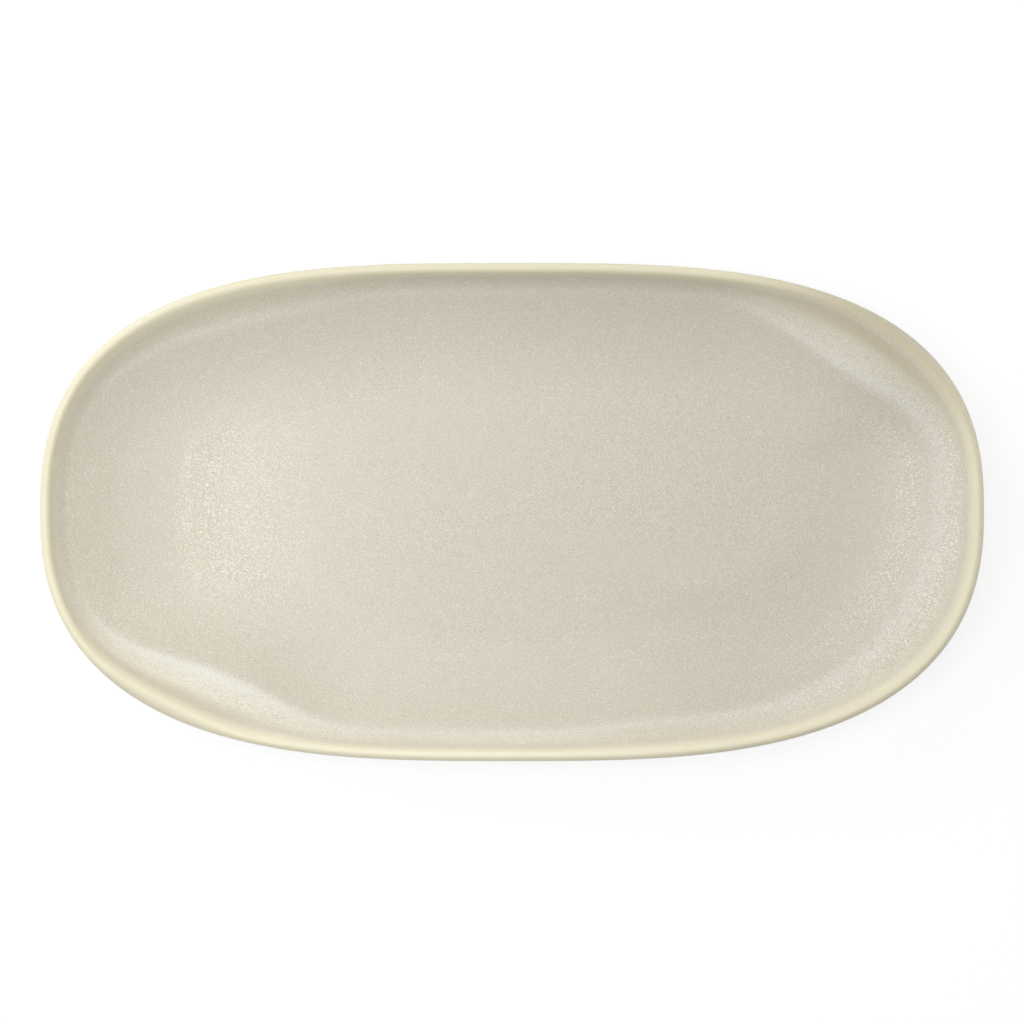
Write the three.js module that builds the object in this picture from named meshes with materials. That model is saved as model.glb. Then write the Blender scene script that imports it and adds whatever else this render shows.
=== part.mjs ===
import * as THREE from 'three';

// Oval stoneware serving platter in millimetres: +X along the length, +Z up, foot ring on z = 0.
// Every section is drawn as inset (in from the finished rim) against height, then carried round the rim.

// Overall size
const PLATTER_LENGTH = 360;
const PLATTER_WIDTH = 190;
const RIM_HEIGHT = 22;

// Rim outline: a superellipse, its back half a little squarer than its front half
const BACK_END_POWER = 3.2;
const BACK_SIDE_POWER = 2.5;
const FRONT_END_POWER = 3.06;
const FRONT_SIDE_POWER = 2.4;

// Clay section, as cut across a long side: a flat floor, a broad dish that rises from it, and a low wall
// under the lip. On the back the dish is a little shorter, and it ends at the flat underside.
const LIP_THICKNESS = 3.6;
const WALL_LEAN = THREE.MathUtils.degToRad(58);
const FLOOR_THICKNESS = 5.5;
const WALL_POWER = 2.2;
const DISH_POWER = 1.8;
const FACE_WALL_RISE = 3.8;
const FACE_DISH_RUN = 46;
const BACK_WALL_RISE = 7.4;
const BACK_DISH_RUN = 42;

// The plan keeps the rim's outline this far in, and over the next run it turns to shrunken copies of it
const EVEN_PLAN = 25;
const SHRINK_RUN = 70;

// Foot ring luted on under the floor: an ellipse, set back from the dish at the sides and the ends
const FOOT_HEIGHT = 3;
const FOOT_WIDTH = 5;
const FOOT_SIDE_SETBACK = 4;
const FOOT_END_SETBACK = 24;
const FOOT_CHAMFER = 0.8;

// Glaze coats: the back coat and the recess coat stop on the underside, clear of the foot on either side
const FACE_GLAZE = 0.6;
const LIP_GLAZE = 0.3;
const BACK_GLAZE = 0.4;
const FOOT_MARGIN = 2.5;

// Two opposite corners where the clay is gathered and the lip leans in: bearings in degrees
const GATHER_LIP = 2.2;
const GATHERED_CORNERS = [
  { bearing: 21, spread: 15, reach: GATHER_LIP },
  { bearing: 209, spread: 13, reach: GATHER_LIP },
];

// Stretches where the foot of the wall lies further in, so that the wall slopes more gently
const WIDE_WALLS = [
  { bearing: 27, spread: 24, reach: 13.1 },
  { bearing: 214, spread: 22, reach: 11.2 },
  { bearing: 345, spread: 35, reach: 8.8 },
  { bearing: 140, spread: 28, reach: 4.7 },
  { bearing: 304, spread: 28, reach: 3.5 },
];

// On the face the widening starts on the lip, whose inner edge takes this share of it, and goes on down
// the wall
const LIP_WIDEN = 0.12;
const WIDEN_POWER = 1.6;

// Facets
const STATIONS = 72;
const WALL_STEPS = 5;
const DISH_STEPS = 5;

const halfLength = PLATTER_LENGTH / 2;
const halfWidth = PLATTER_WIDTH / 2;
const undersideHeight = FOOT_HEIGHT;
const floorHeight = FOOT_HEIGHT + FLOOR_THICKNESS;

// Half of the rim outline, run counter-clockwise seen from above
class RimHalf extends THREE.Curve {
  constructor(side, endPower, sidePower) {
    super();
    this.side = side;
    this.endPower = endPower;
    this.sidePower = sidePower;
    this.arcLengthDivisions = 1440;
  }

  getPoint(t, target = new THREE.Vector2()) {
    const along = Math.cos(Math.PI * t);
    const across = Math.sin(Math.PI * Math.min(t, 1 - t));
    const x = Math.sign(along) * Math.abs(along) ** (2 / this.endPower);
    const y = across ** (2 / this.sidePower);
    return target.set(this.side * halfLength * x, this.side * halfWidth * y);
  }
}

// Shift at a point of the rim from a list of humps, each its full reach at its bearing and 0 a spread away
function shiftAt(point, humps) {
  const bearing = THREE.MathUtils.radToDeg(Math.atan2(point.y, point.x));
  let shift = 0;
  for (const hump of humps) {
    const away = THREE.MathUtils.euclideanModulo(bearing - hump.bearing + 180, 360) - 180;
    const share = Math.min(Math.abs(away) / hump.spread, 1);
    shift += hump.reach * Math.cos((share * Math.PI) / 2) ** 2;
  }
  return shift;
}

// Stations round the rim, even along each half, with the direction that points inward
function rimStations() {
  const halves = [
    new RimHalf(1, BACK_END_POWER, BACK_SIDE_POWER),
    new RimHalf(-1, FRONT_END_POWER, FRONT_SIDE_POWER),
  ];
  const perHalf = STATIONS / 2;
  const stations = [];
  for (const half of halves) {
    for (let k = 0; k < perHalf; k++) {
      const point = half.getPointAt(k / perHalf);
      const tangent = half.getTangentAt(k / perHalf);
      const inward = new THREE.Vector2(-tangent.y, tangent.x);
      const gather = shiftAt(point, GATHERED_CORNERS);
      const widening = shiftAt(point, WIDE_WALLS);
      stations.push({ point, inward, gather, widening });
    }
  }
  return stations;
}

const stations = rimStations();

// Clay lip: a half round across the leaning wall
const lipRadius = LIP_THICKNESS / 2;
const lipCentre = new THREE.Vector2(LIP_GLAZE + lipRadius, RIM_HEIGHT - LIP_GLAZE - lipRadius);
const lipTurn = new THREE.Vector2(Math.sin(WALL_LEAN), Math.cos(WALL_LEAN));
const innerEdge = lipCentre.clone().addScaledVector(lipTurn, lipRadius);
const outerEdge = lipCentre.clone().addScaledVector(lipTurn, -lipRadius);

// One side of the clay from its edge at the lip to its flat: the dish rises by what the wall leaves of the
// height, and the wall's slope is what the lean leaves when the dish's own slope is taken off
function claySide(edge, flatHeight, wallRise, dishRun) {
  const dishRise = edge.y - flatHeight - wallRise;
  const dishSlope = (DISH_POWER * dishRise) / dishRun;
  const wallSlope = Math.tan(WALL_LEAN) - dishSlope;
  const wallRun = (WALL_POWER * wallRise) / wallSlope;
  return { edge, flatHeight, wallRise, wallSlope, wallRun, dishRise, dishSlope, dishRun };
}

const face = claySide(innerEdge, floorHeight, FACE_WALL_RISE, FACE_DISH_RUN);
const back = claySide(outerEdge, undersideHeight, BACK_WALL_RISE, BACK_DISH_RUN);

// Stations round the outside of the foot ring, one for each station of the rim
const backDishEnd = outerEdge.x + BACK_DISH_RUN;
const footInset = backDishEnd + FOOT_SIDE_SETBACK;
const footHalfLength = halfLength - backDishEnd - FOOT_END_SETBACK;
const footOval = new THREE.EllipseCurve(0, 0, footHalfLength, halfWidth - footInset);
footOval.arcLengthDivisions = 1440;
const footStations = stations.map((_, k) => {
  const tangent = footOval.getTangentAt(k / STATIONS);
  return { point: footOval.getPointAt(k / STATIONS), inward: new THREE.Vector2(-tangent.y, tangent.x) };
});

// Plan position of a section point at a station. A point of the foot lies even with the foot's ellipse.
// Any other lies even with the rim, further in on shrunken copies of it, and is moved inward by its shares
// of the gathering and of the wider wall.
function planPoint(sectionPoint, k) {
  if (sectionPoint.onFoot) {
    const { point, inward } = footStations[k];
    return point.clone().addScaledVector(inward, sectionPoint.inset - footInset);
  }
  const { point, inward, gather, widening } = stations[k];
  const even = point.clone().addScaledVector(inward, sectionPoint.inset);
  const edge = point.clone().addScaledVector(inward, innerEdge.x);
  const scaled = edge.multiplyScalar((halfWidth - sectionPoint.inset) / (halfWidth - innerEdge.x));
  const blend = THREE.MathUtils.smoothstep(sectionPoint.inset, EVEN_PLAN, EVEN_PLAN + SHRINK_RUN);
  const shift = gather * sectionPoint.lean + widening * sectionPoint.widen;
  return even.lerp(scaled, blend).addScaledVector(inward, shift);
}

// Closed surface from a section that runs counter-clockwise; a point on the axis becomes one pole
function carryRoundRim(section, closesOnItself) {
  const positions = [];
  const rings = section.map((sectionPoint) => {
    const onAxis = sectionPoint.inset >= halfWidth;
    const first = positions.length / 3;
    const places = onAxis ? [new THREE.Vector2()] : stations.map((_, k) => planPoint(sectionPoint, k));
    for (const place of places) {
      positions.push(place.x, place.y, sectionPoint.z);
    }
    return { first, count: places.length, inset: sectionPoint.inset };
  });
  const corner = (ring, k) => ring.first + (k % ring.count);
  const index = [];
  const steps = closesOnItself ? rings.length : rings.length - 1;
  for (let j = 0; j < steps; j++) {
    const a = rings[j];
    const b = rings[(j + 1) % rings.length];
    for (let k = 0; k < STATIONS; k++) {
      if (a.count === 1) {
        index.push(corner(a, 0), corner(b, k), corner(b, k + 1));
      } else if (b.count === 1) {
        index.push(corner(a, k), corner(b, 0), corner(a, k + 1));
      } else if (a.inset < b.inset) {
        index.push(corner(a, k), corner(b, k), corner(b, k + 1));
        index.push(corner(a, k), corner(b, k + 1), corner(a, k + 1));
      } else {
        index.push(corner(a, k), corner(b, k), corner(a, k + 1));
        index.push(corner(b, k), corner(b, k + 1), corner(a, k + 1));
      }
    }
  }
  const geometry = new THREE.BufferGeometry();
  geometry.setAttribute('position', new THREE.Float32BufferAttribute(positions, 3));
  geometry.setIndex(index);
  geometry.computeVertexNormals();
  return geometry;
}

// Lip from its inner edge over the crest to its outer edge, raised off the clay by a coat
function lipSection(coat) {
  const angles = [
    Math.PI / 2 - WALL_LEAN,
    Math.PI / 2 - WALL_LEAN / 2,
    Math.PI / 2,
    (Math.PI * 2) / 3,
    (Math.PI * 5) / 6,
    Math.PI,
    Math.PI * 1.5 - WALL_LEAN,
  ];
  return angles.map((angle) => ({
    inset: lipCentre.x + (lipRadius + coat) * Math.cos(angle),
    z: lipCentre.y + (lipRadius + coat) * Math.sin(angle),
    lean: THREE.MathUtils.smoothstep(Math.PI - angle, 0, Math.PI / 2),
    widen: LIP_WIDEN * Math.max((Math.PI / 2 - angle) / WALL_LEAN, 0) ** 2,
  }));
}

// Section of a side from the lip down to the flat, with a coat laid square on the clay: inside it is laid
// upward, and on the back downward. The wall and the dish are two power curves added together.
function sideSection(side, coatAtLip, coatOnFlat) {
  const { edge, flatHeight, wallRise, wallSlope, wallRun, dishRise, dishSlope, dishRun } = side;
  const upward = side === face ? 1 : -1;
  const widenAtLip = side === face ? LIP_WIDEN : 0;
  const runs = [];
  for (let j = 0; j <= WALL_STEPS; j++) {
    runs.push((wallRun * j) / WALL_STEPS);
  }
  for (let j = 1; j <= DISH_STEPS; j++) {
    runs.push(THREE.MathUtils.lerp(wallRun, dishRun, j / DISH_STEPS));
  }
  return runs.map((run) => {
    const u = Math.min(run / wallRun, 1);
    const v = run / dishRun;
    const thickening = THREE.MathUtils.smoothstep(u, 0, 1);
    const coat = upward * THREE.MathUtils.lerp(coatAtLip, coatOnFlat, thickening);
    const slope = wallSlope * (1 - u) ** (WALL_POWER - 1) + dishSlope * (1 - v) ** (DISH_POWER - 1);
    const normal = new THREE.Vector2(slope, 1).normalize();
    const rise = wallRise * (1 - u) ** WALL_POWER + dishRise * (1 - v) ** DISH_POWER;
    return {
      inset: edge.x + run + coat * normal.x,
      z: flatHeight + rise + coat * normal.y,
      lean: side === face ? (1 - u) ** 2 : 0,
      widen: 1 - (1 - widenAtLip) * (1 - u) ** WIDEN_POWER,
    };
  });
}

const axisPoint = (z) => ({ inset: halfWidth, z });
const footPoint = (run, z) => ({ inset: footInset + run, z, onFoot: true });

// Clay body: floor, dish, wall and lip in one pressed piece
function stonewareBody() {
  return carryRoundRim([
    axisPoint(floorHeight),
    ...sideSection(face, 0, 0).reverse(),
    ...lipSection(0).slice(1, -1),
    ...sideSection(back, 0, 0),
    footPoint(-FOOT_MARGIN, undersideHeight),
    axisPoint(undersideHeight),
  ], false);
}

// Foot ring of bare clay, its standing face chamfered on both edges
function footRing() {
  return carryRoundRim([
    footPoint(0, undersideHeight),
    footPoint(0, FOOT_CHAMFER),
    footPoint(FOOT_CHAMFER, 0),
    footPoint(FOOT_WIDTH - FOOT_CHAMFER, 0),
    footPoint(FOOT_WIDTH, FOOT_CHAMFER),
    footPoint(FOOT_WIDTH, undersideHeight),
  ], true);
}

// Glaze over the well and the inside of the wall, thinning towards the lip
function faceGlaze() {
  return carryRoundRim([
    axisPoint(floorHeight + FACE_GLAZE),
    ...sideSection(face, LIP_GLAZE, FACE_GLAZE).reverse(),
    ...sideSection(face, 0, 0),
    axisPoint(floorHeight),
  ], false);
}

// Thin glaze over the lip
function lipGlaze() {
  return carryRoundRim([
    ...lipSection(LIP_GLAZE),
    ...lipSection(0).reverse(),
  ], true);
}

// Glaze down the outside of the wall and over the underside towards the foot
function backGlaze() {
  return carryRoundRim([
    ...sideSection(back, LIP_GLAZE, BACK_GLAZE),
    footPoint(-FOOT_MARGIN - BACK_GLAZE, undersideHeight - BACK_GLAZE),
    footPoint(-FOOT_MARGIN, undersideHeight),
    ...sideSection(back, 0, 0).reverse(),
  ], true);
}

// Glaze on the underside inside the foot ring
function recessGlaze() {
  const edge = FOOT_WIDTH + FOOT_MARGIN;
  return carryRoundRim([
    axisPoint(undersideHeight),
    footPoint(edge, undersideHeight),
    footPoint(edge + BACK_GLAZE, undersideHeight - BACK_GLAZE),
    axisPoint(undersideHeight - BACK_GLAZE),
  ], false);
}

function ceramic(colour, roughness) {
  return new THREE.MeshStandardMaterial({ color: colour, roughness, metalness: 0 });
}

const platter = new THREE.Group();
platter.name = 'serving_platter';

function addPiece(name, geometry, material) {
  const mesh = new THREE.Mesh(geometry, material);
  mesh.name = name;
  platter.add(mesh);
}

addPiece('stoneware_body', stonewareBody(), ceramic(0xdccdae, 0.85));
addPiece('foot_ring', footRing(), ceramic(0xd6c6a6, 0.9));
addPiece('recess_glaze', recessGlaze(), ceramic(0xd0c8b4, 0.42));
addPiece('back_glaze', backGlaze(), ceramic(0xd0c8b4, 0.42));
addPiece('face_glaze', faceGlaze(), ceramic(0xd6cfbf, 0.4));
addPiece('lip_glaze', lipGlaze(), ceramic(0xf0e8ce, 0.35));

export default platter;
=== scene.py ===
import bpy
import numpy as np
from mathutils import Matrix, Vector


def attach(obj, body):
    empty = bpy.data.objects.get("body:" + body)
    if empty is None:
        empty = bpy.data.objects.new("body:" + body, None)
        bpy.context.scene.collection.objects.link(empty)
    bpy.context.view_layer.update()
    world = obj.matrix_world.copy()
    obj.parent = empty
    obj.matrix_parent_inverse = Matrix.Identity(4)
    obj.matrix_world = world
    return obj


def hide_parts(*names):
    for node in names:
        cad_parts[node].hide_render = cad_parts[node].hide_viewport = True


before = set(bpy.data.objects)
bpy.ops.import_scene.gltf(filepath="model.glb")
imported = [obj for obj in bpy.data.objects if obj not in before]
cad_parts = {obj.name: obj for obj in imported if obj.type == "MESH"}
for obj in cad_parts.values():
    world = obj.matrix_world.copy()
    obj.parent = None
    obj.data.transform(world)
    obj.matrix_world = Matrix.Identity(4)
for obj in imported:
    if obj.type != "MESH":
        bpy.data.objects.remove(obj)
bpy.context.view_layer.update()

# Stoneware body: one slab of buff clay pressed over an oval mould, with a flat floor, a broad dish that
# rises from it, a low wall and a rounded lip. At two opposite corners the clay is gathered, so that the lip
# leans in and the wall slopes more gently there. Only a line of it beside the foot is left bare.
HALF_LENGTH = 0.180
HALF_WIDTH = 0.095
RIM_HEIGHT = 0.022
BACK_RIM_POWERS = (3.2, 2.5)
FRONT_RIM_POWERS = (3.06, 2.4)
LIP_RADIUS = 0.0018
LIP_GLAZE = 0.0003
WALL_LEAN = np.radians(58)
FLOOR_THICKNESS = 0.0055
WALL_POWER = 2.2
DISH_POWER = 1.8
FACE_WALL_RISE = 0.0038
FACE_DISH_RUN = 0.046
BACK_WALL_RISE = 0.0074
BACK_DISH_RUN = 0.042
LIP_WIDEN = 0.12
WIDEN_POWER = 1.6
EVEN_PLAN = 0.025
SHRINK_RUN = 0.070
FOOT_HEIGHT = 0.003
FOOT_SIDE_SETBACK = 0.004
FOOT_END_SETBACK = 0.024
FOOT_WIDTH = 0.005
FOOT_MARGIN = 0.0025

# Humps round the rim: bearing from the right-hand end round by the back and spread, both in degrees, then
# how far the clay is moved inward
GATHERED_CORNERS = ((21, 15, 0.0022), (209, 13, 0.0022))
WIDE_WALLS = ((27, 24, 0.0131), (214, 22, 0.0112), (345, 35, 0.0088), (140, 28, 0.0047),
              (304, 28, 0.0035))

# Slow waver of the rim: its size, then each wave's count round the rim, its phase and its share
RIM_WAVER = 0.00025
WAVER_WAVES = ((2, 0.6, 1.0), (5, 2.1, 0.6))

# Grid: stations round each ring, points on a finely drawn curve, how far out the rings round the middle of
# the floor and of a disc stand as shares, the angle from which an edge is sharp, and steps over the clay
STATIONS = 600
FINE_STEPS = 40001
FLOOR_MIDDLE = 0.01
DISC_MIDDLE = 0.1
SHARP_EDGE = np.radians(50)
CLAY_WALL_STEPS = 20
CLAY_DISH_STEPS = 16
CLAY_FLOOR_STEPS = 6
CLAY_LIP_STEPS = 14
UNDER_FOOT_STEPS = 5
CLAY_DISC_STEPS = 4
CLAY_DISC_RUN = 0.012


def smooth(low, high, value):
    """Smooth step: 0 below low, 1 above high, and 3t^2 - 2t^3 between, with t the share of the way."""
    t = np.clip((value - low) / (high - low), 0, 1)
    return t * t * (3 - 2 * t)


def evenly_along(curve, count):
    """Points at equal steps of length along a finely drawn curve, without its last point."""
    length = np.append(0, np.cumsum(np.linalg.norm(np.diff(curve, axis=0), axis=1)))
    steps = np.linspace(0, length[-1], count, endpoint=False)
    return np.stack([np.interp(steps, length, curve[:, axis]) for axis in (0, 1)], axis=1)


def rim_outline(count):
    """Points round the rim and unit directions that point inward. Each half of the rim is
    |x/a|^p + |y/b|^q = 1, and the inward direction is minus the gradient of that sum."""
    points, inward = [], []
    turn = np.linspace(0, np.pi, FINE_STEPS)
    reach = np.array([HALF_LENGTH, HALF_WIDTH])
    for side, powers in ((1, np.array(BACK_RIM_POWERS)), (-1, np.array(FRONT_RIM_POWERS))):
        unit = np.stack([np.cos(turn), np.sin(turn)], axis=1)
        half = evenly_along(side * reach * np.sign(unit) * np.abs(unit) ** (2 / powers), count // 2)
        slope = powers * np.sign(half) * np.abs(half / reach) ** (powers - 1) / reach
        points.append(half)
        inward.append(-slope / np.linalg.norm(slope, axis=1, keepdims=True))
    return np.concatenate(points), np.concatenate(inward)


rim, inward = rim_outline(STATIONS)
way_round = np.arange(STATIONS) / STATIONS
bearing = np.degrees(np.arctan2(rim[:, 1], rim[:, 0]))


def near_bearing(middle, spread):
    """Squared cosine hump over the stations: 1 at the middle bearing, 0 a spread away, in degrees."""
    away = np.abs((bearing - middle + 180) % 360 - 180)
    return np.cos(np.minimum(away / spread, 1) * np.pi / 2) ** 2


def humps(table):
    """Sum of humps over the stations, each given by its middle bearing, its spread and its height."""
    return sum(height * near_bearing(middle, spread) for middle, spread, height in table)


gather = humps(GATHERED_CORNERS)
widening = humps(WIDE_WALLS)
waves = sum(share * np.sin(2 * np.pi * count * way_round + phase) for count, phase, share in WAVER_WAVES)
waver = RIM_WAVER * waves / sum(share for count, phase, share in WAVER_WAVES)

lip_middle = np.array([LIP_GLAZE + LIP_RADIUS, RIM_HEIGHT - LIP_GLAZE - LIP_RADIUS])
lip_turn = np.array([np.sin(WALL_LEAN), np.cos(WALL_LEAN)])
inner_edge = lip_middle + LIP_RADIUS * lip_turn
outer_edge = lip_middle - LIP_RADIUS * lip_turn
floor_height = FOOT_HEIGHT + FLOOR_THICKNESS
face_dish_end = inner_edge[0] + FACE_DISH_RUN
back_dish_end = outer_edge[0] + BACK_DISH_RUN

foot_setback = np.array([FOOT_END_SETBACK, FOOT_SIDE_SETBACK])
foot_reach = np.array([HALF_LENGTH, HALF_WIDTH]) - back_dish_end - foot_setback
full_turn = np.linspace(0, 2 * np.pi, FINE_STEPS)
foot = evenly_along(foot_reach * np.stack([np.cos(full_turn), np.sin(full_turn)], axis=1), STATIONS)
foot_inward = -foot / foot_reach ** 2
foot_inward /= np.linalg.norm(foot_inward, axis=1, keepdims=True)


def carried_round_rim(section):
    """Grid of points, rings by stations, from section points (inset from the rim, height, lean, widen).
    The inset is square to the rim near it, and further in the plan blends to shrunken copies of the rim.
    Lean and widen are the shares of the gathering and of the wider wall that move a point inward. The
    rim's slow waver lifts a point by its height squared."""
    inset, height, lean, widen = (column.reshape(-1, 1) for column in np.asarray(section, float).T)
    even = rim + inset[..., None] * inward
    shrink = (HALF_WIDTH - inset) / (HALF_WIDTH - inner_edge[0])
    scaled = (rim + inner_edge[0] * inward) * shrink[..., None]
    share = smooth(EVEN_PLAN, EVEN_PLAN + SHRINK_RUN, inset)[..., None]
    moved = (gather * lean + widening * widen)[..., None] * inward
    plan = even * (1 - share) + scaled * share + moved
    lifted = height + waver * (height / RIM_HEIGHT) ** 2
    return np.concatenate([plan, lifted[..., None]], axis=2)


def carried_round_foot(section):
    """Grid of points, rings by stations, from section points (run in from the foot's outer face, height)."""
    run, height = (column.reshape(-1, 1) for column in np.asarray(section, float).T)
    plan = foot + run[..., None] * foot_inward
    return np.concatenate([plan, np.broadcast_to(height, plan.shape[:2])[..., None]], axis=2)


def lip_section(coat, steps):
    """Half round from the inner edge of the lip over its crest to its outer edge, raised off the clay by
    the coat. Lean grows from the outermost point to the crest, and widen from the crest to the inner edge,
    as the square of the way."""
    share = (1 - np.cos(np.linspace(0, np.pi, steps))) / 2
    angle = np.pi / 2 - WALL_LEAN + np.pi * share
    inset = lip_middle[0] + (LIP_RADIUS + coat) * np.cos(angle)
    height = lip_middle[1] + (LIP_RADIUS + coat) * np.sin(angle)
    widen = LIP_WIDEN * np.clip((np.pi / 2 - angle) / WALL_LEAN, 0, 1) ** 2
    return np.stack([inset, height, smooth(0, np.pi / 2, np.pi - angle), widen], axis=1)


def side_section(edge, flat_height, wall_rise, dish_run, widen_at_lip, coat_at_lip, coat_on_flat, wall_steps,
                 dish_steps):
    """One side of the clay from its edge at the lip down to its flat. The low wall and the broad dish are
    two power curves added together, (1 - u)^p along the wall's run and (1 - v)^q along the dish's. The coat
    is laid on square to that curve, and a coat below 0 is laid downward, as on the back. Lean fades as
    (1 - u)^2, and widen goes on from its share at the lip to 1 at the wall's foot, as 1 - (1 - u)^w."""
    dish_rise = edge[1] - flat_height - wall_rise
    dish_slope = DISH_POWER * dish_rise / dish_run
    wall_slope = np.tan(WALL_LEAN) - dish_slope
    wall_run = WALL_POWER * wall_rise / wall_slope
    wall_share = (1 - np.cos(np.linspace(0, np.pi, wall_steps))) / 2
    run = np.append(wall_run * wall_share, np.linspace(wall_run, dish_run, dish_steps + 1)[1:])
    u = np.minimum(run / wall_run, 1)
    v = run / dish_run
    lean = (1 - u) ** 2
    widen = 1 - (1 - widen_at_lip) * (1 - u) ** WIDEN_POWER
    coat = coat_at_lip + (coat_on_flat - coat_at_lip) * smooth(0, 1, u)
    slope = wall_slope * (1 - u) ** (WALL_POWER - 1) + dish_slope * (1 - v) ** (DISH_POWER - 1)
    steep = np.hypot(slope, 1)
    rise = wall_rise * (1 - u) ** WALL_POWER + dish_rise * (1 - v) ** DISH_POWER
    inset = edge[0] + run + coat * slope / steep
    return np.stack([inset, flat_height + rise + coat / steep, lean, widen], axis=1)


def well_section(coat_at_lip, coat_on_floor, wall_steps, dish_steps):
    """Inside of the platter from the lip down to the flat of the floor."""
    return side_section(inner_edge, floor_height, FACE_WALL_RISE, FACE_DISH_RUN, LIP_WIDEN, coat_at_lip,
                        coat_on_floor, wall_steps, dish_steps)


def back_section(coat_at_lip, coat_at_foot, wall_steps, dish_steps):
    """Outside of the platter from the lip down to the flat underside; the gathering doesn't move it."""
    section = side_section(outer_edge, FOOT_HEIGHT, BACK_WALL_RISE, BACK_DISH_RUN, 0, -coat_at_lip,
                           -coat_at_foot, wall_steps, dish_steps)
    return section * (1, 1, 0, 1)


def floor_section(height, steps):
    """Level floor from the dish in to the middle; the wider wall's share goes from 1 to 0 on the way."""
    out = np.linspace(1, FLOOR_MIDDLE, steps + 1)[1:]
    inset = HALF_WIDTH + (face_dish_end - HALF_WIDTH) * out
    return np.stack([inset, np.full(steps, height), np.zeros(steps), out], axis=1)


def level_rings(run_from, run_to, height, steps):
    """Level rings on the underside between two runs in from the foot's outer face."""
    runs = np.linspace(run_from, run_to, steps)
    return carried_round_foot(np.stack([runs, np.full(steps, height)], axis=1))


def level_disc(run, height, steps):
    """Level rings from a run in from the foot's outer face towards the middle, each a shrunken copy of the
    first."""
    first = foot + run * foot_inward
    plan = np.linspace(1, DISC_MIDDLE, steps)[:, None, None] * first
    return np.concatenate([plan, np.full((steps, STATIONS, 1), height)], axis=2)


def fired_piece(name, grid, pole_heights=None):
    """Mesh from a rings by stations grid: quads join neighbouring rings. Without poles the last ring joins
    the first; with two pole heights, fans close the first and the last ring on the upright axis."""
    rings, count = grid.shape[:2]
    here = np.arange(count)
    beyond = (here + 1) % count
    first = np.arange(rings if pole_heights is None else rings - 1)[:, None] * count
    second = (first + count) % (rings * count)
    faces = np.stack([first + here, second + here, second + beyond, first + beyond], axis=-1)
    faces = faces.reshape(-1, 4).tolist()
    points = grid.reshape(-1, 3)
    if pole_heights is not None:
        start, end = rings * count, rings * count + 1
        points = np.concatenate([points, [(0, 0, height) for height in pole_heights]])
        last = (rings - 1) * count
        faces += np.stack([np.full(count, start), here, beyond], axis=1).tolist()
        faces += np.stack([last + here, np.full(count, end), last + beyond], axis=1).tolist()
    mesh = bpy.data.meshes.new(name)
    mesh.from_pydata(points.tolist(), [], faces)
    mesh.polygons.foreach_set("use_smooth", np.ones(len(faces), bool))
    mesh.set_sharp_from_angle(angle=SHARP_EDGE)
    mesh.validate()
    piece = bpy.data.objects.new(name, mesh)
    bpy.context.scene.collection.objects.link(piece)
    return piece


def add_node(tree, kind, sockets=None, **settings):
    """New shader node; a socket given another node's output is linked, and any other value is set on it."""
    made = tree.nodes.new(kind)
    for key, value in settings.items():
        setattr(made, key, value)
    for key, value in (sockets or {}).items():
        if isinstance(value, bpy.types.NodeSocket):
            tree.links.new(value, made.inputs[key])
        else:
            made.inputs[key].default_value = value
    return made


def colour(red, green, blue):
    """Colour as it looks on screen, 0 to 255, turned to the linear values that the shader takes: a straight
    line near black, and above it the power 2.4."""
    share = np.array([red, green, blue]) / 255
    linear = np.where(share <= 0.04045, share / 12.92, ((share + 0.055) / 1.055) ** 2.4)
    return (*linear.tolist(), 1.0)


def mixed(tree, factor, one, other):
    """Colour that goes from one to the other as the factor goes from 0 to 1."""
    blend = add_node(tree, "ShaderNodeMix", {0: factor, 6: one, 7: other}, data_type="RGBA")
    return blend.outputs[2]


def ranged(tree, value, low, high, to_low=0.0, to_high=1.0):
    """Value taken smoothly from the range low to high onto the range to_low to to_high."""
    names = ("Value", "From Min", "From Max", "To Min", "To Max")
    sockets = dict(zip(names, (value, low, high, to_low, to_high)))
    return add_node(tree, "ShaderNodeMapRange", sockets, interpolation_type="SMOOTHSTEP").outputs[0]


def reckoned(tree, operation, one, other):
    """Two values added, multiplied or otherwise put together."""
    return add_node(tree, "ShaderNodeMath", {0: one, 1: other}, operation=operation).outputs[0]


def cloudy(tree, place, cells, detail, roughness=0.5):
    """Soft noise of that many cells per metre and finer layers, about 0.5 on average."""
    sockets = {"Vector": place, "Scale": cells, "Detail": detail, "Roughness": roughness}
    return add_node(tree, "ShaderNodeTexNoise", sockets).outputs["Fac"]


def scattered(tree, place, cells, size, share, choice):
    """Round spots, one to a cell with that many cells per metre, that fade from the share to 0 over the two
    sizes. A cell has its spot where its own random value is past the choice."""
    spots = add_node(tree, "ShaderNodeTexVoronoi", {"Vector": place, "Scale": cells})
    own = add_node(tree, "ShaderNodeSeparateColor", {0: spots.outputs["Color"]}).outputs[0]
    spot = ranged(tree, spots.outputs["Distance"], *size, share, 0.0)
    return reckoned(tree, "MULTIPLY", spot, ranged(tree, own, *choice))


def new_finish(name):
    """Empty material with its shader and its object coordinates."""
    finish = bpy.data.materials.new(name)
    finish.use_nodes = True
    tree = finish.node_tree
    shader = next(n for n in tree.nodes if n.type == "BSDF_PRINCIPLED")
    place = add_node(tree, "ShaderNodeTexCoord").outputs["Object"]
    return finish, tree, shader, place


def join_up(tree, shader, **sockets):
    """Links each output to the shader socket of that name, written with underscores for spaces."""
    for name, output in sockets.items():
        tree.links.new(output, shader.inputs[name.replace("_", " ")])


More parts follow.
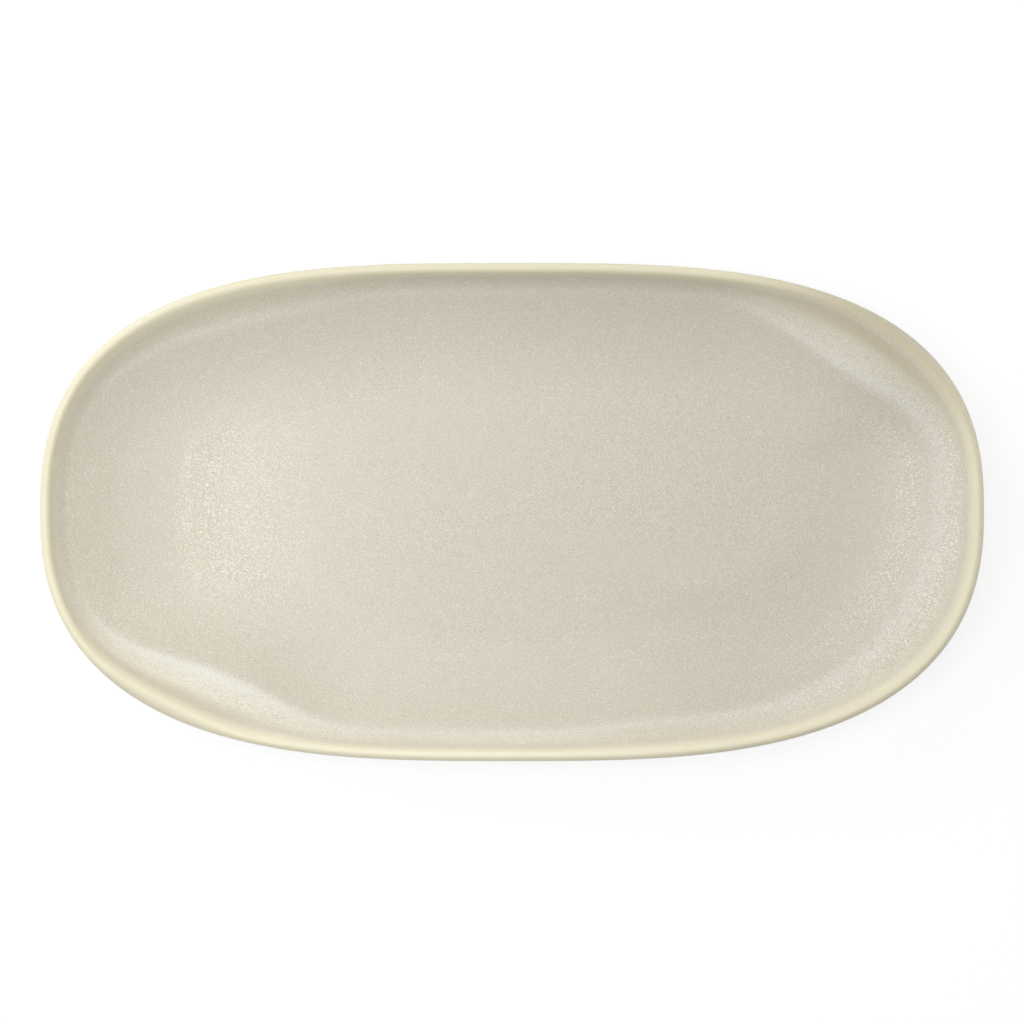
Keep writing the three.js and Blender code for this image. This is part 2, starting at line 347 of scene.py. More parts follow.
# Bare clay: cells per metre of each noise, the noise levels over which a tone comes in, and its share
CLOUD_CELLS = 45
CLOUD_LEVELS = (0.35, 0.68)
SAND_CELLS = 1400
SAND_LEVELS = (0.55, 0.8)
SAND_SHARE = 0.35
CLAY_DETAIL = 3
SAND_ROUGHNESS = 0.65
IRON_CELLS = 330.0
IRON_SIZE = (0.10, 0.17)
IRON_SHARE = 0.75
IRON_CHOICE = (0.80, 0.86)
IRON = colour(118, 92, 64)
CLAY_RELIEF = 0.00006
CLAY_ROUGHNESS = (0.78, 0.95)
MOST_OF_NOISE = (0.3, 0.7)


def bare_clay(name, pale, dark):
    """Fired, unglazed clay: buff with slow clouds, a sandy grain and scattered iron specks, quite rough."""
    finish, tree, shader, place = new_finish(name)
    clouds = cloudy(tree, place, CLOUD_CELLS, CLAY_DETAIL)
    sand = cloudy(tree, place, SAND_CELLS, CLAY_DETAIL, SAND_ROUGHNESS)
    body = mixed(tree, ranged(tree, clouds, *CLOUD_LEVELS), pale, dark)
    body = mixed(tree, ranged(tree, sand, *SAND_LEVELS, 0.0, SAND_SHARE), body, dark)
    body = mixed(tree, scattered(tree, place, IRON_CELLS, IRON_SIZE, IRON_SHARE, IRON_CHOICE), body, IRON)
    relief = add_node(tree, "ShaderNodeBump", {"Strength": 1.0, "Distance": CLAY_RELIEF, "Height": sand})
    join_up(tree, shader, Base_Color=body, Normal=relief.outputs[0],
            Roughness=ranged(tree, sand, *MOST_OF_NOISE, *CLAY_ROUGHNESS))
    return finish


def finished(piece, finish, node):
    """Gives a piece its finish, ties it to the part's one body, and hides the solid it stands for."""
    piece.data.materials.append(finish)
    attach(piece, "root")
    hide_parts(node)


well_clay = np.concatenate([well_section(0, 0, CLAY_WALL_STEPS, CLAY_DISH_STEPS),
                            floor_section(floor_height, CLAY_FLOOR_STEPS)])
inside_rings = np.concatenate([well_clay[::-1], lip_section(0, CLAY_LIP_STEPS)[1:-1],
                               back_section(0, 0, CLAY_WALL_STEPS, CLAY_DISH_STEPS)])
clay_rings = np.concatenate([
    carried_round_rim(inside_rings),
    level_rings(-FOOT_MARGIN, FOOT_WIDTH + FOOT_MARGIN, FOOT_HEIGHT, UNDER_FOOT_STEPS),
    level_disc(CLAY_DISC_RUN, FOOT_HEIGHT, CLAY_DISC_STEPS),
])
stoneware_body = fired_piece("stoneware_body_clay", clay_rings, (floor_height, FOOT_HEIGHT))
finished(stoneware_body, bare_clay("bare stoneware", colour(226, 211, 180), colour(208, 190, 156)),
         "stoneware_body")

# Foot ring: an oval coil of the same clay joined on under the floor with slip, trimmed and sponged round.
# It is wiped clean of glaze so that it doesn't stick to the kiln shelf, and the platter stands on it.
FOOT_ROUNDING = 0.0008
FOOT_FILLET = 0.0006
FOOT_CORNER_STEPS = 8
FOOT_FACE_STEPS = 8
FOOT_TOP_STEPS = 6


def between(start, end, height, steps):
    """Level section points between two runs, without the two ends."""
    runs = np.linspace(start, end, steps)[1:-1]
    return np.stack([runs, np.full(steps - 2, height)], axis=1)


def foot_section():
    """Ring section run down the outer side, across the standing face and up the inner side: quarter
    rounds at the two lower corners and small hollow fillets where the ring meets the underside."""
    quarter = np.linspace(0, np.pi / 2, FOOT_CORNER_STEPS)
    round_in = FOOT_ROUNDING * (1 - np.cos(quarter))
    round_down = FOOT_ROUNDING * (1 - np.sin(quarter))
    flare = FOOT_FILLET * (1 - np.sin(quarter))
    top = FOOT_HEIGHT - FOOT_FILLET * (1 - np.cos(quarter))
    outer = np.concatenate([np.stack([-flare, top], axis=1), np.stack([round_in, round_down], axis=1)])
    inner = np.stack([FOOT_WIDTH - outer[::-1, 0], outer[::-1, 1]], axis=1)
    face = between(outer[-1, 0], inner[0, 0], 0, FOOT_FACE_STEPS)
    crown = between(inner[-1, 0], outer[0, 0], FOOT_HEIGHT, FOOT_TOP_STEPS)
    return np.concatenate([outer, face, inner, crown])


foot_ring = fired_piece("foot_ring_clay", carried_round_foot(foot_section()))
finished(foot_ring, bare_clay("wiped foot clay", colour(222, 206, 173), colour(200, 181, 146)),
         "foot_ring")

# Recess glaze: the coat on the underside inside the foot ring, poured in and swilled round. It ends in a
# low rolled bead just clear of the foot, where the wax resist stopped it.
BACK_GLAZE = 0.0004
BEAD = 0.0007
BEAD_RUN = 5 * BEAD
BEAD_STEPS = 8
RECESS_UNDER_RUN = 0.002
RECESS_FLAT_RUN = 0.006
RECESS_UNDER_STEPS = 4
RECESS_FLAT_STEPS = 12

SAND = colour(209, 201, 184)
SAND_FLECK = colour(188, 179, 160)
PALE_FLECK = colour(228, 223, 210)
PINHOLE_BROWN = colour(151, 133, 106)
CREAM = colour(229, 222, 194)
# Painted light: a paler cream for the lip at the front, where more light falls on it
PALE_CREAM = colour(241, 234, 208)
# Painted shade: olive for the inside of the gathered corners and their cream, where wall and lip lie in
# shade
OLIVE = colour(196, 186, 157)
# Painted highlight: pale trails that paint the sparkle of the lights on the relief at both ends of the floor
PALE_TRAIL = colour(242, 236, 218)

# Grain of the glaze: cells per metre and finer layers of each noise, the noise levels over which a fleck
# comes in, and the flecks' shares
GRAIN_CELLS = 2000
GRAIN_DETAIL = 1.0
FLECK_CELLS = 3000
FLECK_DETAIL = 0.0
FLECK_LEVELS = (0.46, 0.74)
PALE_SHARE = 0.88
DARK_SHARE = 0.95
PINHOLE_CELLS = 150.0
PINHOLE_SIZE = (0.02, 0.06)
PINHOLE_SHARE = 0.6
PINHOLE_CHOICE = (0.93, 0.95)
GRAIN_RELIEF = 0.00015
SATIN_ROUGHNESS = (0.21, 0.29)
CREAM_RELIEF = 0.15
CREAM_ROUGHER = 0.15
GLAZE_IOR = 1.5


def marked(tree, name):
    """Value of a mark on the mesh."""
    return add_node(tree, "ShaderNodeAttribute", attribute_name=name).outputs["Fac"]


def reactive_glaze(name, under_tone=None, cream_share=None, trails=None):
    """Satin sand-coloured glaze with the skin of an orange: grains of under half a millimetre, some paler
    and some darker, stand up in it, and a few brown pinholes dot it. The grain sets colour, roughness and
    relief. Another tone may lie under the grain and partly veil it, pale trails of painted highlight may
    wind through it, and cream may cover it, which is smoother and duller. Painted light makes the cream
    paler at the front of the lip, and painted shade turns it olive at the gathered corners."""
    finish, tree, shader, place = new_finish(name)
    grain = cloudy(tree, place, GRAIN_CELLS, GRAIN_DETAIL)
    fleck = cloudy(tree, place, FLECK_CELLS, FLECK_DETAIL)
    tone = SAND
    pale = ranged(tree, grain, *FLECK_LEVELS, 0.0, PALE_SHARE)
    dark = ranged(tree, fleck, *FLECK_LEVELS, 0.0, DARK_SHARE)
    if under_tone is not None:
        tone, veil = under_tone(tree, place, grain)
        unveiled = reckoned(tree, "SUBTRACT", 1.0, veil)
        pale = reckoned(tree, "MULTIPLY", pale, unveiled)
        dark = reckoned(tree, "MULTIPLY", dark, unveiled)
    tone = mixed(tree, dark, mixed(tree, pale, tone, PALE_FLECK), SAND_FLECK)
    pinhole = scattered(tree, place, PINHOLE_CELLS, PINHOLE_SIZE, PINHOLE_SHARE, PINHOLE_CHOICE)
    tone = mixed(tree, pinhole, tone, PINHOLE_BROWN)
    if trails is not None:
        trail, gap = trails(tree, place)
        tone = mixed(tree, trail, mixed(tree, gap, tone, SAND_FLECK), PALE_TRAIL)
    height = reckoned(tree, "SUBTRACT", grain, pinhole)
    relief = add_node(tree, "ShaderNodeBump", {"Strength": 1.0, "Distance": GRAIN_RELIEF, "Height": height})
    roughness = ranged(tree, fleck, *MOST_OF_NOISE, *SATIN_ROUGHNESS)
    if cream_share is not None:
        cream = cream_share(tree, grain)
        # Painted light makes the cream paler at the front of the lip, and painted shade turns it olive at
        # the gathered corners
        thin_cream = mixed(tree, marked(tree, "paler"), CREAM, PALE_CREAM)
        thin_cream = mixed(tree, marked(tree, "duller"), thin_cream, OLIVE)
        tone = mixed(tree, cream, tone, thin_cream)
        tree.links.new(ranged(tree, cream, 0.0, 1.0, 1.0, CREAM_RELIEF), relief.inputs["Strength"])
        roughness = reckoned(tree, "ADD", roughness, ranged(tree, cream, 0.0, 1.0, 0.0, CREAM_ROUGHER))
    join_up(tree, shader, Base_Color=tone, Normal=relief.outputs[0], Roughness=roughness)
    shader.inputs["IOR"].default_value = GLAZE_IOR
    return finish


def beaded_edge(run, way, coat):
    """Edge of a coat on the flat underside, from the clay out to the coat's full depth: a quarter round as
    deep as the bead, which then eases back to the coat. Way is 1 where the coat lies further in, and -1
    where it lies further out."""
    angle = np.linspace(0, np.pi / 2, BEAD_STEPS)
    along = np.append(BEAD * (1 - np.cos(angle)), np.linspace(BEAD, BEAD_RUN, BEAD_STEPS)[1:])
    ease = BEAD + (coat - BEAD) * smooth(0, 1, np.linspace(0, 1, BEAD_STEPS))[1:]
    return np.stack([run + way * along, FOOT_HEIGHT - np.append(BEAD * np.sin(angle), ease)], axis=1)


recess_edge = FOOT_WIDTH + FOOT_MARGIN
recess_rings = np.concatenate([
    level_disc(recess_edge + RECESS_UNDER_RUN, FOOT_HEIGHT, RECESS_UNDER_STEPS)[::-1],
    carried_round_foot(beaded_edge(recess_edge, 1, BACK_GLAZE)),
    level_disc(recess_edge + RECESS_FLAT_RUN, FOOT_HEIGHT - BACK_GLAZE, RECESS_FLAT_STEPS),
])
recess_glaze = fired_piece("recess_glaze_coat", recess_rings, (FOOT_HEIGHT, FOOT_HEIGHT - BACK_GLAZE))
finished(recess_glaze, reactive_glaze("recess sand glaze"), "recess_glaze")

# Back glaze: the coat down the outside of the wall and over the underside, dipped, and stopped just short
# of the foot, where it gathers in a low bead. It thins and breaks to cream towards the lip.
BACK_WALL_STEPS = 40
BACK_DISH_STEPS = 30
BACK_FLAT_STEPS = 12
LIP_STEPS = 48
UNDER_WALL_STEPS = 10
UNDER_DISH_STEPS = 8

# Cream: how far below the crest it fades, how ragged its edge is over most of the grain, and the share of
# the way that counts down the outside, where it therefore reaches further
CREAM_FADE = (0.0006, 0.0060)
CREAM_RAGGED = (-0.0007, 0.0007)
RAGGED_LEVELS = (0.2, 0.8)
OUTSIDE_SPREAD = 0.60

# Round the rim, by bearing, spread and share: where the shoulder outside the crest keeps its thick coat, the
# olive of painted shade inside the gathered corners, where the cream is paler with painted light at the
# front, where it turns duller with painted shade at those corners, and where it reaches wider down the
# inside
BARE_SHOULDERS = ((25, 14, 0.50), (205, 17, 0.50))
OLIVE_CORNERS = ((27, 22, 0.9), (207, 18, 0.55))
PALER_FRONT = ((262, 80, 1.0),)
DULLER_CORNERS = ((27, 24, 0.75), (205, 18, 0.15))
CORNER_NARROWING = 0.45
INSIDE_WIDER = ((90, 60, -0.10), (175, 45, 0.30))


def mark_surface(piece, rings, **marks):
    """Puts values that the finish follows on the mesh, each given by ring and station."""
    for name, values in marks.items():
        full = np.zeros(len(piece.data.vertices), np.float32)
        spread = np.broadcast_to(values, (rings, STATIONS))
        full[:rings * STATIONS] = spread.ravel()
        full[rings * STATIONS:] = spread[0, 0]
        piece.data.attributes.new(name, "FLOAT", "POINT").data.foreach_set("value", full)


def broken_to_cream(tree, grain):
    """Share of cream: 1 over the crest of the lip, with a soft, slightly uneven edge down both sides. Where
    the mark uncreamed is 1 the coat stays thick and keeps its tone."""
    ragged = ranged(tree, grain, *RAGGED_LEVELS, *CREAM_RAGGED)
    edge = reckoned(tree, "ADD", marked(tree, "below_crest"), ragged)
    cream = ranged(tree, edge, *CREAM_FADE, 1.0, 0.0)
    return reckoned(tree, "MULTIPLY", cream, reckoned(tree, "SUBTRACT", 1.0, marked(tree, "uncreamed")))


def way_down(grid, start):
    """Distance from ring to ring at each station, beginning at the start value."""
    steps = np.linalg.norm(np.diff(grid, axis=0), axis=2)
    return start + np.concatenate([np.zeros((1, STATIONS)), np.cumsum(steps, axis=0)])


bare_shoulder = humps(BARE_SHOULDERS)
# Painted shade: olive and a duller cream at the gathered corners; painted light: a paler cream at the front
olive_share = humps(OLIVE_CORNERS)
paler_cream = humps(PALER_FRONT)
duller_cream = humps(DULLER_CORNERS)
inside_reach = 1 - CORNER_NARROWING * olive_share + humps(INSIDE_WIDER)

lip_top = carried_round_rim(lip_section(LIP_GLAZE, LIP_STEPS))
past_crest = way_down(lip_top, 0)
past_crest -= past_crest[np.argmax(lip_top[:, 0, 2])]

back_wall = carried_round_rim(back_section(LIP_GLAZE, BACK_GLAZE, BACK_WALL_STEPS, BACK_DISH_STEPS))
back_bead = carried_round_foot(beaded_edge(-FOOT_MARGIN, -1, BACK_GLAZE)[::-1])
back_flat = np.linspace(back_wall[-1], back_bead[0], BACK_FLAT_STEPS)[1:-1]
clay_back = carried_round_rim(back_section(0, 0, UNDER_WALL_STEPS, UNDER_DISH_STEPS))[::-1]
back_rings = np.concatenate([back_wall, back_flat, back_bead, clay_back])
back_glaze = fired_piece("back_glaze_coat", back_rings)
back_down = way_down(back_rings, past_crest[-1])
mark_surface(back_glaze, len(back_rings), below_crest=back_down * OUTSIDE_SPREAD, uncreamed=bare_shoulder,
             paler=paler_cream, duller=duller_cream)
finished(back_glaze, reactive_glaze("back sand glaze", cream_share=broken_to_cream),
         "back_glaze")

# Face glaze: the thick satin coat sprayed over the well and the inside of the wall. On the wall it runs
# thin and warmer. At the foot of the wall lies a pale, granular line, partly glaze pooling and partly a
# painted reflection of the lights, with a painted highlight on the wall above it. The slope round the flat
# and the inside of the gathered corners are darkened with painted shade, and at both ends of the floor
# winding trails paint the sparkle of the lights on the relief.
FACE_GLAZE = 0.0006
FACE_WALL_STEPS = 70
FACE_DISH_STEPS = 50
FACE_FLOOR_STEPS = 24
UNDER_FLOOR_STEPS = 3
THIN_SAND = colour(211, 202, 182)
# Painted shade: a darker sand for the slope round the flat, most at the left end and the front right
SLOPE_SAND = colour(201, 193, 175)
# Partly glaze pooling and partly a painted reflection of the lights: the pale line at the wall's foot
POOLED = colour(228, 226, 217)
# Painted highlight: a pale cream where the lights fall on the wall above its foot
HAZE = colour(237, 231, 213)

# Where the dish starts more sharply than elsewhere: bearing, spread, run from the lip, power and share
EARLY_DISHES = ((180, 42, 0.050, 1.3, 0.8), (312, 30, 0.062, 1.35, 0.35))

# Tones by the run from the lip: the thin wall fades over a stretch, and so does the painted shade that
# darkens the slope past the edge of the flat, which lies further in at two bearings
THIN_FADE = (0.002, 0.010)
FLAT_FURTHER_IN = ((180, 42, 0.004), (312, 36, 0.012))
SLOPE_EVERYWHERE = 0.15
SLOPE_DARKER = ((180, 55, 0.85), (328, 65, 0.85))
SLOPE_FADE = (-0.006, 0.003)

# Pale line at the wall's foot, partly glaze pooling and partly a painted reflection of the lights: its run
# from the lip, its depth above and below that run, and how pale it is, with what bearings add
POOL_RUN = 0.0067
POOL_ABOVE = 0.0024
POOL_BELOW = 0.0022
WIDER_ABOVE = ((350, 50, 0.0012),)
WIDER_BELOW = ((350, 45, 0.0036),)
POOL_EVERYWHERE = 0.30
POOL_PALER = ((345, 60, 0.92), (214, 28, 0.72), (24, 24, 0.58), (270, 60, 0.30), (180, 36, -0.30),
              (145, 20, 0.15), (323, 22, 0.22))
POOL_COARSER = ((345, 75, 0.55),)

# Painted highlight on the wall above its foot, and olive painted shade: shares by bearing, then the
# stretches over which each comes in and goes out
HAZY = ((216, 34, 1.0), (30, 26, 0.60), (270, 45, 0.35))
HAZE_IN = (0.0010, 0.0032)
HAZE_OUT = (0.0058, 0.0085)
OLIVE_IN = (0.0022, 0.0045)
OLIVE_OUT = (0.0075, 0.0130)

# Runs of glaze: noise cells per metre round the rim, at its mean radius, and down the wall, then how they
# and the grain break the pale line at the wall's foot, as noise levels and the shares of that line there.
# The gaps between trails take their share out of that line where it is coarse, and the line and the
# olive veil the flecks by theirs
MEAN_RADIUS = 0.144
RUNS_ROUND = 1400
RUNS_DOWN = 600
RUN_DETAIL = 1.0
RUN_LEVELS = (0.34, 0.68)
RUN_SHARES = (0.65, 1.25)
BREAK_LEVELS = (0.34, 0.66)
BREAK_SHARES = (0.75, 1.20)
POOL_GAP_LEVELS = (0.01, 0.08)
POOL_GAP = 0.7
POOL_VEIL = 0.5
OLIVE_VEIL = 0.7

# Trails, a painted highlight for the sparkle of the lights on the relief: cells per metre at the left and
# the right end, and the levels off the noise's mean over which a trail goes out and the gap beside it comes
# in
NOISE_MEAN = 0.5
LEFT_TRAIL_CELLS = 1450
RIGHT_TRAIL_CELLS = 1120
TRAIL_DETAIL = 0.5
TRAIL_LEVELS = (0.01, 0.060)
GAP_LEVELS = (0.05, 0.13)
GAP_SHARE = 0.5

# Left patch of trails, painted where the lights shine on the left of the floor: stretches along and across
# the platter, and the bow of its left edge. Right patch, painted where they shine at the right end: its
# bearing and spread, and the stretches inside and outside the pale line at the wall's foot, each with its
# share
LEFT_TRAILS = 0.85
PATCH_BOW = 7.8
PATCH_IN = (-0.135, -0.125)
PATCH_OUT = (-0.108, -0.055)
PATCH_SIDE = (0.018, 0.055)
RIGHT_PATCH = (355, 54)
INSIDE_TRAILS = 0.72
INSIDE_IN = (0.012, 0.017)
INSIDE_OUT = (0.021, 0.033)
OUTSIDE_TRAILS = 0.82
OUTSIDE_IN = (0.0012, 0.0030)
OUTSIDE_OUT = (0.0048, 0.0068)


def off_the_trails(tree, place):
    """How far a noise is from its mean; the trails wind along the places where that is near 0."""
    noise = cloudy(tree, place, marked(tree, "trail_cells"), TRAIL_DETAIL)
    away = reckoned(tree, "SUBTRACT", noise, NOISE_MEAN)
    return add_node(tree, "ShaderNodeMath", {0: away}, operation="ABSOLUTE").outputs[0]


def face_tone(tree, place, grain):
    """Sand floor, a slightly darker slope round it in painted shade, a thinner and warmer wall, olive
    painted shade inside the gathered corners, a painted highlight on the wall, and the pale line at the
    wall's foot, partly glaze pooling and partly a painted reflection of the lights. That line is broken by
    its grain, by fine runs of glaze down the wall and, where it is coarse, by the gaps between trails. That
    line and the olive partly veil the flecks; the second value is that veil."""
    tone = mixed(tree, marked(tree, "sloping"), SAND, SLOPE_SAND)
    for mark, other in (("thin", THIN_SAND), ("olive", OLIVE), ("haze", HAZE)):
        tone = mixed(tree, marked(tree, mark), tone, other)
    down_wall = add_node(tree, "ShaderNodeCombineXYZ", {axis: marked(tree, axis + "_run") for axis in "XYZ"})
    runs = cloudy(tree, down_wall.outputs[0], 1.0, RUN_DETAIL)
    coarse = marked(tree, "coarse")
    least = reckoned(tree, "SUBTRACT", BREAK_SHARES[0], coarse)
    most = reckoned(tree, "ADD", BREAK_SHARES[1], coarse)
    broken = reckoned(tree, "MULTIPLY", ranged(tree, runs, *RUN_LEVELS, *RUN_SHARES),
                      ranged(tree, grain, *BREAK_LEVELS, least, most))
    gap = ranged(tree, off_the_trails(tree, place), *POOL_GAP_LEVELS, 0.0, POOL_GAP)
    kept = reckoned(tree, "SUBTRACT", 1.0, reckoned(tree, "MULTIPLY", coarse, gap))
    pooled = reckoned(tree, "MULTIPLY", marked(tree, "pool"), reckoned(tree, "MULTIPLY", broken, kept))
    pool_veil = reckoned(tree, "MULTIPLY", pooled, reckoned(tree, "SUBTRACT", POOL_VEIL, coarse))
    olive_veil = reckoned(tree, "MULTIPLY", marked(tree, "olive"), OLIVE_VEIL)
    return mixed(tree, pooled, tone, POOLED), reckoned(tree, "MAXIMUM", pool_veil, olive_veil)


def winding_trails(tree, place):
    """Shares of the pale trails and of the darker gaps between them, a painted sparkle of the lights on the
    relief.
    """
    away = off_the_trails(tree, place)
    crawled = marked(tree, "crawled")
    trail = reckoned(tree, "MULTIPLY", ranged(tree, away, *TRAIL_LEVELS, 1.0, 0.0), crawled)
    gap = reckoned(tree, "MULTIPLY", ranged(tree, away, *GAP_LEVELS, 0.0, GAP_SHARE), crawled)
    return trail, gap


def early_dish(run, dish_run, power):
    """How far the floor rises above the plain dish, by the run from the lip, if the dish starts at another
    run and follows another power there."""
    dish_rise = inner_edge[1] - floor_height - FACE_WALL_RISE
    plain = np.clip(1 - run / FACE_DISH_RUN, 0, 1) ** DISH_POWER
    return dish_rise * np.maximum(np.clip(1 - run / dish_run, 0, 1) ** power - plain, 0)


def band(value, come_in, go_out):
    """Rises smoothly from 0 to 1 over one stretch of the value and falls to 0 again over another."""
    return smooth(*come_in, value) * (1 - smooth(*go_out, value))


well_glaze = np.concatenate([well_section(LIP_GLAZE, FACE_GLAZE, FACE_WALL_STEPS, FACE_DISH_STEPS),
                             floor_section(floor_height + FACE_GLAZE, FACE_FLOOR_STEPS)])
well_under = np.concatenate([well_section(0, 0, UNDER_WALL_STEPS, UNDER_DISH_STEPS),
                             floor_section(floor_height, UNDER_FLOOR_STEPS)])
face_rings = np.concatenate([well_glaze[::-1], well_under])
run = (face_rings[:, 0] - inner_edge[0])[:, None]
face_grid = carried_round_rim(face_rings)
top_rings = slice(0, len(well_glaze))
for middle, spread, dish_run, power, share in EARLY_DISHES:
    lift = share * near_bearing(middle, spread) * early_dish(run[top_rings], dish_run, power)
    face_grid[top_rings, :, 2] += lift
face_glaze = fired_piece("face_glaze_coat", face_grid, (floor_height + FACE_GLAZE, floor_height))

face_down = np.ones(face_grid.shape[:2])
face_down[top_rings] = way_down(face_grid[top_rings][::-1], -past_crest[0])[::-1]
flat_edge = FACE_DISH_RUN + humps(FLAT_FURTHER_IN)
# Painted shade: the slope is darker all round, most at the left end and the front right, where less light
# reaches
sloping = (SLOPE_EVERYWHERE + humps(SLOPE_DARKER)) * (1 - smooth(*SLOPE_FADE, run - flat_edge))
depth = np.where(run < POOL_RUN, POOL_ABOVE + humps(WIDER_ABOVE), POOL_BELOW + humps(WIDER_BELOW))
# Pooling all round, and a painted reflection of the lights, strongest at the right end and the two gathered
# corners
pool = (POOL_EVERYWHERE + humps(POOL_PALER)) * np.exp(-((run - POOL_RUN) / depth) ** 2)

along, across = face_grid[..., 0], np.abs(face_grid[..., 1])
left_patch = smooth(*PATCH_IN, along - PATCH_BOW * across ** 2) * (1 - smooth(*PATCH_OUT, along))
left_patch *= 1 - smooth(*PATCH_SIDE, across)
beside_pool = INSIDE_TRAILS * band(run, INSIDE_IN, INSIDE_OUT)
beside_pool = beside_pool + OUTSIDE_TRAILS * band(run, OUTSIDE_IN, OUTSIDE_OUT)
# Painted highlight: the trails lie where the lights shine, on the left of the floor and at the right end
crawled = LEFT_TRAILS * left_patch + near_bearing(*RIGHT_PATCH) * beside_pool
lap = 2 * np.pi * way_round
cells_round = RUNS_ROUND * MEAN_RADIUS
mark_surface(face_glaze, len(face_rings), below_crest=face_down / inside_reach, uncreamed=np.zeros(1),
             paler=paler_cream, duller=duller_cream, thin=1 - smooth(*THIN_FADE, run), sloping=sloping,
             olive=olive_share * band(face_down, OLIVE_IN, OLIVE_OUT),
             haze=humps(HAZY) * band(run, HAZE_IN, HAZE_OUT),
             pool=pool, coarse=humps(POOL_COARSER),
             crawled=crawled, trail_cells=np.where(along < 0, LEFT_TRAIL_CELLS, RIGHT_TRAIL_CELLS),
             X_run=cells_round * np.cos(lap), Y_run=cells_round * np.sin(lap), Z_run=RUNS_DOWN * run)
finished(face_glaze, reactive_glaze("face reactive glaze", face_tone, broken_to_cream, winding_trails),
         "face_glaze")

# Lip glaze: the thin coat left where the face and the back coats meet over the lip. It is too thin there to
# hold its sand colour, so it breaks to a warm cream, but for the outer shoulder of the gathered corners.
SHOULDER_IN = (0.0010, 0.0028)

lip_under = carried_round_rim(lip_section(0, CLAY_LIP_STEPS)[::-1])
lip_grid = np.concatenate([lip_top, lip_under])
lip_glaze = fired_piece("lip_glaze_coat", lip_grid)
off_crest = np.concatenate([past_crest, np.zeros(lip_under.shape[:2])])
lip_down = np.where(off_crest < 0, -off_crest / inside_reach, off_crest * OUTSIDE_SPREAD)
mark_surface(lip_glaze, len(lip_grid), below_crest=lip_down,
             uncreamed=smooth(*SHOULDER_IN, off_crest) * bare_shoulder,
             paler=paler_cream, duller=duller_cream)
finished(lip_glaze, reactive_glaze("lip cream glaze", cream_share=broken_to_cream),
         "lip_glaze")

# Table and light: a plain pale table, soft lights round an even room light, and the camera straight above,
# as the photograph looks down into the well. Light meets the table as pale grey; a ray that sees it meets a
# steady glow, and a darker grey on top of that, which carries the platter's shadow. From below it is clear.
WHITE = (1.0, 1.0, 1.0, 1.0)
TABLE_REACH = 3
TABLE_GREY = (0.75, 0.75, 0.75, 1.0)
TABLE_SHADE = (0.25, 0.25, 0.25, 1.0)
TABLE_GLOW = 0.81
ROOM_LIGHT = 0.15
CAMERA_HEIGHT = 1.525
LEVEL_IN_VIEW = 0.025
VIEW_WIDTH = 0.3892
SENSOR_WIDTH = 36


def seen_rays(tree):
    """1 for rays that see the background, from the camera or by way of gloss or glass, and 0 for light."""
    rays = add_node(tree, "ShaderNodeLightPath").outputs
    seen = reckoned(tree, "MAXIMUM", rays["Is Camera Ray"], rays["Is Glossy Ray"])
    return reckoned(tree, "MAXIMUM", seen, rays["Is Transmission Ray"])


corners = [(TABLE_REACH * x, TABLE_REACH * y, 0) for x, y in ((-1, -1), (1, -1), (1, 1), (-1, 1))]
table_mesh = bpy.data.meshes.new("table")
table_mesh.from_pydata(corners, [], [(0, 1, 2, 3)])
table = bpy.data.objects.new("table", table_mesh)
bpy.context.scene.collection.objects.link(table)
table_top = bpy.data.materials.new("pale table")
table_top.use_nodes = True
tree = table_top.node_tree
tree.nodes.clear()
seen = seen_rays(tree)
lit = add_node(tree, "ShaderNodeBsdfDiffuse", {"Color": mixed(tree, seen, TABLE_GREY, TABLE_SHADE)})
strength = reckoned(tree, "MULTIPLY", seen, TABLE_GLOW)
glow = add_node(tree, "ShaderNodeEmission", {"Color": WHITE, "Strength": strength})
pale = add_node(tree, "ShaderNodeAddShader", {0: lit.outputs[0], 1: glow.outputs[0]})
side = add_node(tree, "ShaderNodeNewGeometry").outputs["Backfacing"]
clear = add_node(tree, "ShaderNodeBsdfTransparent")
top = add_node(tree, "ShaderNodeMixShader", {0: side, 1: pale.outputs[0], 2: clear.outputs[0]})
add_node(tree, "ShaderNodeOutputMaterial", {"Surface": top.outputs[0]})
table_mesh.materials.append(table_top)

world = bpy.data.worlds.new("studio")
bpy.context.scene.world = world
world.use_nodes = True
tree = world.node_tree
tree.nodes.clear()
room = add_node(tree, "ShaderNodeBackground", {"Color": WHITE, "Strength": ROOM_LIGHT})
backdrop = add_node(tree, "ShaderNodeBackground", {"Color": WHITE, "Strength": 1.0})
air = add_node(tree, "ShaderNodeMixShader", {0: seen_rays(tree), 1: room.outputs[0], 2: backdrop.outputs[0]})
add_node(tree, "ShaderNodeOutputWorld", {"Surface": air.outputs[0]})


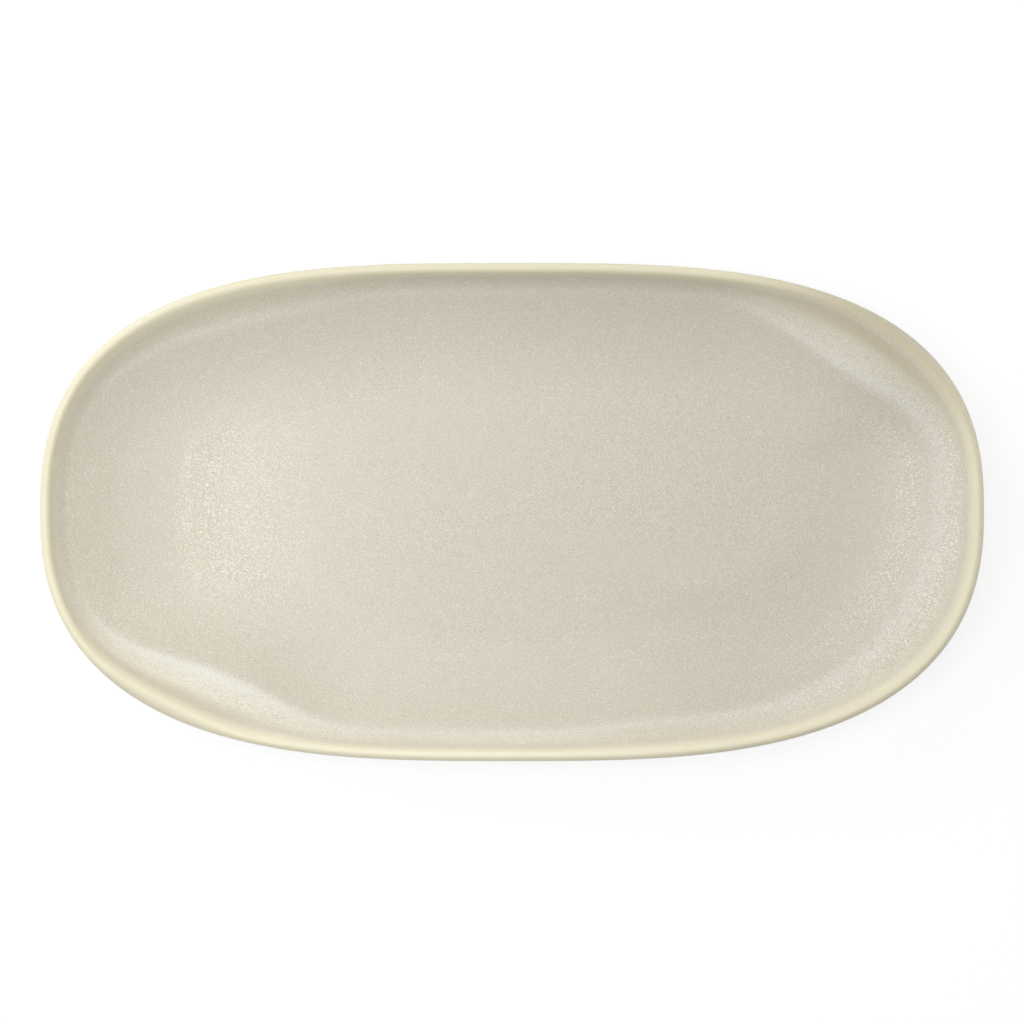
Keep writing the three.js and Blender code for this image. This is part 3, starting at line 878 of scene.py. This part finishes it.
def soft_light(name, place, aim, size, power):
    """Rectangular soft light of that size and power, at a place and turned to face the aim."""
    data = bpy.data.lights.new(name, "AREA")
    data.shape = "RECTANGLE"
    data.size, data.size_y = size
    data.energy = power
    lamp = bpy.data.objects.new(name, data)
    bpy.context.scene.collection.objects.link(lamp)
    lamp.location = place
    lamp.rotation_mode = "QUATERNION"
    lamp.rotation_quaternion = Vector(np.subtract(aim, place).tolist()).to_track_quat("-Z", "Y")
    lamp.visible_camera = False


soft_light("low light from back left", (-0.748, 0.802, 0.488), (0, 0, 0), (0.7, 0.6), 6.15)
soft_light("low light from the right", (1.046, 0.381, 0.450), (0, 0, 0), (0.9, 0.6), 3.65)
soft_light("low light from the back", (0.10, 1.00, 0.42), (0, 0, 0), (0.7, 0.6), 1.00)
soft_light("low light from the front right", (0.86, -0.52, 0.40), (0, 0, 0), (0.6, 0.6), 0.45)
soft_light("low light from the left", (-1.083, -0.095, 0.507), (0, 0, 0), (0.6, 0.6), 1.17)
soft_light("panel over the left half", (-0.28, 0.05, 1.6), (-0.15, 0.02, 0), (0.35, 0.5), 2.00)
soft_light("panel over the middle", (0.05, 0.02, 1.6), (0, 0.02, 0), (0.35, 0.3), 1.42)
soft_light("panel over the back", (-0.15, 0.45, 1.5), (0, 0, 0), (0.7, 0.3), 1.15)
soft_light("panel over the front", (-0.10, -0.40, 1.5), (0, 0, 0), (0.5, 0.25), 0.38)
soft_light("lamp near the left end", (-0.25, 0.01, 0.65), (-0.1, 0, 0), (0.24, 0.24), 0.92)
soft_light("lamp near the front left", (-0.40, -0.30, 0.45), (0, 0, 0), (0.35, 0.35), 0.83)

view = bpy.data.cameras.new("from above")
view.sensor_width = SENSOR_WIDTH
view.lens = SENSOR_WIDTH * (CAMERA_HEIGHT - LEVEL_IN_VIEW) / VIEW_WIDTH
camera = bpy.data.objects.new("from above", view)
camera.location = (0, 0, CAMERA_HEIGHT)
bpy.context.scene.collection.objects.link(camera)
bpy.context.scene.camera = camera
bpy.context.scene.view_settings.view_transform = "Standard"
